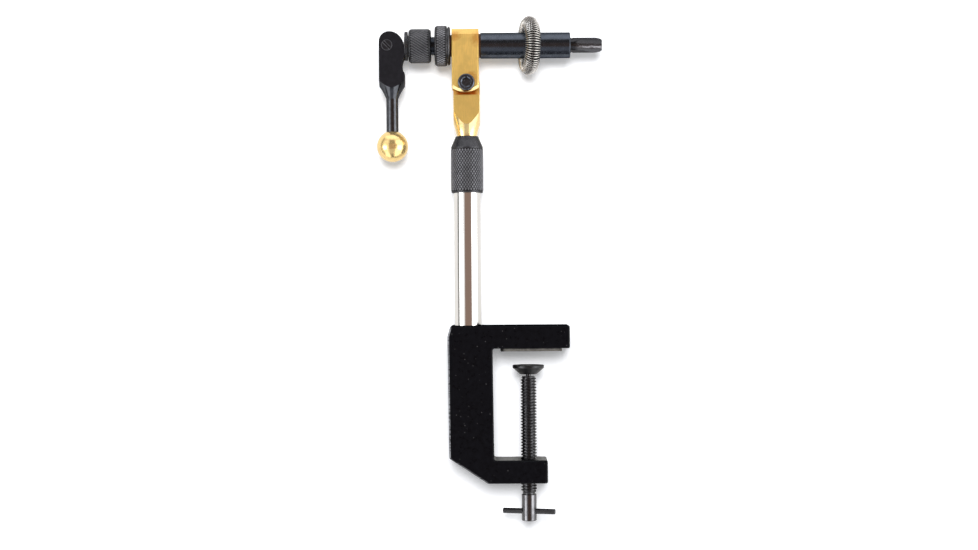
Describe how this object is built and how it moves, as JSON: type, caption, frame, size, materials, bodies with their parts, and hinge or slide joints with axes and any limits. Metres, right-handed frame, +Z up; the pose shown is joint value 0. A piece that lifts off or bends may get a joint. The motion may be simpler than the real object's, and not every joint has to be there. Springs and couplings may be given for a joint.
{
  "type": "fly tying vise",
  "caption": "Table-clamped fly tying vise: C clamp, pole, tilting brass head, turning barrel with a split collet jaw and cam lever",
  "frame": {"origin": "the point where the clamp screw's axis meets the lower face of the fixed pad under the C clamp's upper arm, which rests on the table top", "axes": "+Z runs up along the pole, +X points from the pole towards the jaw, along the clamp's arms and the barrel, and +Y points to the back of the vise as pictured"},
  "size_m": [0.1073, 0.0268, 0.2396],
  "materials": {
    "casting": "black paint with a fine pale speckle, satin",
    "pad_plate": "dull grey-olive plate, black at its inner end",
    "pole_steel": "polished bright tube",
    "dark_steel": "turned steel, darkened",
    "black_knurl": "blackened steel with a diamond knurl",
    "brass": "machined brass, lightly aged",
    "barrel_black": "blackened and polished",
    "jaw_black": "hardened steel, dark grey",
    "lever_black": "black, matt on its flat faces and shiny on its turned faces",
    "screw_black": "black oxide",
    "fibre": "dark red-brown fibre",
    "spring_steel": "bright spring wire",
    "bright_steel": "bright turned steel"
  },
  "bodies": {
    "clamp": {"clamp_frame": "casting", "jaw_pad": "pad_plate", "pole": "pole_steel"},
    "screw_pad": {"swivel_pad": "dark_steel"},
    "screw": {"clamp_screw": "dark_steel", "cross_bar": "dark_steel"},
    "collar": {"lock_collar": "black_knurl"},
    "collet": {"stem_collet": "bright_steel"},
    "post": {"stem": "brass"},
    "head": {"head_block": "brass"},
    "locking_screw": {"tilt_screw": "screw_black"},
    "tube": {"barrel": "barrel_black", "front_washer": "fibre", "jaw_key": "bright_steel", "return_spring": "spring_steel"},
    "washer": {"rear_washer": "fibre"},
    "ring": {"drag_ring": "black_knurl"},
    "thrust": {"thrust_collar": "black_knurl"},
    "knob": {"adjusting_knob": "black_knurl"},
    "jaws": {"split_jaw": "jaw_black", "draw_rod": "bright_steel"},
    "lever": {"cam_lever": "lever_black", "pivot_screw": "screw_black", "lever_ball": "brass"},
    "clip": {"spring_clip": "spring_steel"}
  },
  "joints": [
    {"name": "pad_travel", "type": "slide", "parent": "clamp", "child": "screw_pad", "axis": [0, 0, 1], "range_m": [-0.0375, 0.0064]},
    {"name": "screw_turn", "type": "hinge", "parent": "screw_pad", "child": "screw", "pos_m": [0, 0, -0.04], "axis": [0, 0, 1], "range_deg": [-9580, 1640]},
    {"name": "collar_turn", "type": "hinge", "parent": "clamp", "child": "collar", "pos_m": [-0.0285, 0, 0.09], "axis": [0, 0, 1], "range_deg": [0, 90]},
    {"name": "head_swivel", "type": "hinge", "parent": "clamp", "child": "collet", "pos_m": [-0.0285, 0, 0.095], "axis": [0, 0, 1], "continuous": true},
    {"name": "post_height", "type": "slide", "parent": "collet", "child": "post", "axis": [0, 0, 1], "range_m": [0, 0.025]},
    {"name": "head_tilt", "type": "hinge", "parent": "post", "child": "head", "pos_m": [-0.0285, 0, 0.12665], "axis": [0, 1, 0], "range_deg": [-28, 28]},
    {"name": "locking_screw_turn", "type": "hinge", "parent": "head", "child": "locking_screw", "pos_m": [-0.0285, 0, 0.12665], "axis": [0, -1, 0], "range_deg": [0, 90]},
    {"name": "tube_turn", "type": "hinge", "parent": "head", "child": "tube", "pos_m": [-0.0285, 0, 0.14515], "axis": [1, 0, 0], "continuous": true},
    {"name": "washer_travel", "type": "slide", "parent": "tube", "child": "washer", "axis": [1, 0, 0], "range_m": [-0.0008, 0]},
    {"name": "drag_ring_turn", "type": "hinge", "parent": "washer", "child": "ring", "pos_m": [-0.04, 0, 0.14515], "axis": [-1, 0, 0], "range_deg": [0, 360]},
    {"name": "thrust_travel", "type": "slide", "parent": "tube", "child": "thrust", "axis": [1, 0, 0], "range_m": [0, 0.0008]},
    {"name": "knob_turn", "type": "hinge", "parent": "thrust", "child": "knob", "pos_m": [-0.05, 0, 0.14515], "axis": [1, 0, 0], "range_deg": [0, 360]},
    {"name": "jaw_draw", "type": "slide", "parent": "thrust", "child": "jaws", "axis": [1, 0, 0], "range_m": [0, 0.0017], "deforming": ["return_spring"]},
    {"name": "lever_swing", "type": "hinge", "parent": "jaws", "child": "lever", "pos_m": [-0.06608, 0, 0.14515], "axis": [0, 1, 0], "range_deg": [0, 90]},
    {"name": "clip_travel", "type": "slide", "parent": "tube", "child": "clip", "axis": [1, 0, 0], "range_m": [-0.016, 0.012]}
  ],
  "couplings": [
    {"joint": "screw_turn", "follows": "pad_travel", "rad_per_m": 4452.6},
    {"joint": "washer_travel", "follows": "drag_ring_turn", "m_per_rad": -0.0001264},
    {"joint": "thrust_travel", "follows": "knob_turn", "m_per_rad": 0.0001264},
    {"joint": "jaw_draw", "follows": "lever_swing", "m_per_rad": 0.0010504}
  ]
}
